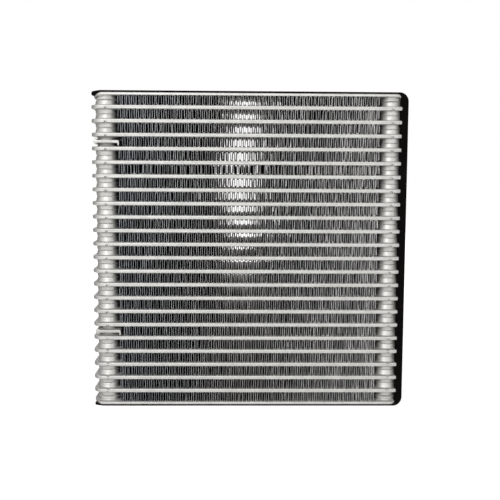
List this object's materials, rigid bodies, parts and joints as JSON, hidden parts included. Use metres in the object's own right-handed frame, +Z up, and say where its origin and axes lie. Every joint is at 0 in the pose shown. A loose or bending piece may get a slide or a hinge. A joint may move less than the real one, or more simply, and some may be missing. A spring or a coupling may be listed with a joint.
{
  "type": "air conditioning evaporator",
  "caption": "Upright rectangular evaporator core: flat tubes with pressed tank cups at both ends, corrugated fins between them, end plates and a foam seal on three sides.",
  "frame": {"origin": "middle of the core's underside, on the lower face of the foam tape where the core stands", "axes": "+X across the core to the side with the foam, +Y from the front face to the rear with the pipe stubs, +Z up"},
  "size_m": [0.2434, 0.08, 0.2455],
  "materials": {
    "tube_aluminium": "matt brazed, pressed sheet",
    "fin_aluminium": "thin louvred foil, mill finish",
    "end_plate_aluminium": "matt brazed, pressed sheet",
    "port_plate_aluminium": "matt brazed, pressed sheet",
    "saddle_aluminium": "machined block, dulled by the brazing furnace",
    "pipe_aluminium": "drawn tube, satin",
    "seal_foam": "soft closed-cell foam tape, matt black"
  },
  "bodies": {
    "root": {"bottom_end_plate": "end_plate_aluminium", "fin_01": "fin_aluminium", "fin_02": "fin_aluminium", "fin_03": "fin_aluminium", "fin_04": "fin_aluminium", "fin_05": "fin_aluminium", "fin_06": "fin_aluminium", "fin_07": "fin_aluminium", "fin_08": "fin_aluminium", "fin_09": "fin_aluminium", "fin_10": "fin_aluminium", "fin_11": "fin_aluminium", "fin_12": "fin_aluminium", "fin_13": "fin_aluminium", "fin_14": "fin_aluminium", "fin_15": "fin_aluminium", "fin_16": "fin_aluminium", "fin_17": "fin_aluminium", "fin_18": "fin_aluminium", "fin_19": "fin_aluminium", "fin_20": "fin_aluminium", "fin_21": "fin_aluminium", "fin_22": "fin_aluminium", "fin_23": "fin_aluminium", "foam_seal": "seal_foam", "inlet_pipe": "pipe_aluminium", "inlet_saddle": "saddle_aluminium", "lower_port_plate": "port_plate_aluminium", "outlet_pipe": "pipe_aluminium", "outlet_saddle": "saddle_aluminium", "top_end_plate": "end_plate_aluminium", "tube_01": "tube_aluminium", "tube_02": "tube_aluminium", "tube_03": "tube_aluminium", "tube_04": "tube_aluminium", "tube_05": "tube_aluminium", "tube_06": "tube_aluminium", "tube_07": "tube_aluminium", "tube_08": "tube_aluminium", "tube_09": "tube_aluminium", "tube_10": "tube_aluminium", "tube_11": "tube_aluminium", "tube_12": "tube_aluminium", "tube_13": "tube_aluminium", "tube_14": "tube_aluminium", "tube_15": "tube_aluminium", "tube_16": "tube_aluminium", "tube_17": "tube_aluminium", "tube_18": "tube_aluminium", "tube_19": "tube_aluminium", "tube_20": "tube_aluminium", "tube_21": "tube_aluminium", "tube_22": "tube_aluminium", "upper_port_plate": "port_plate_aluminium"}
  },
  "joints": []
}
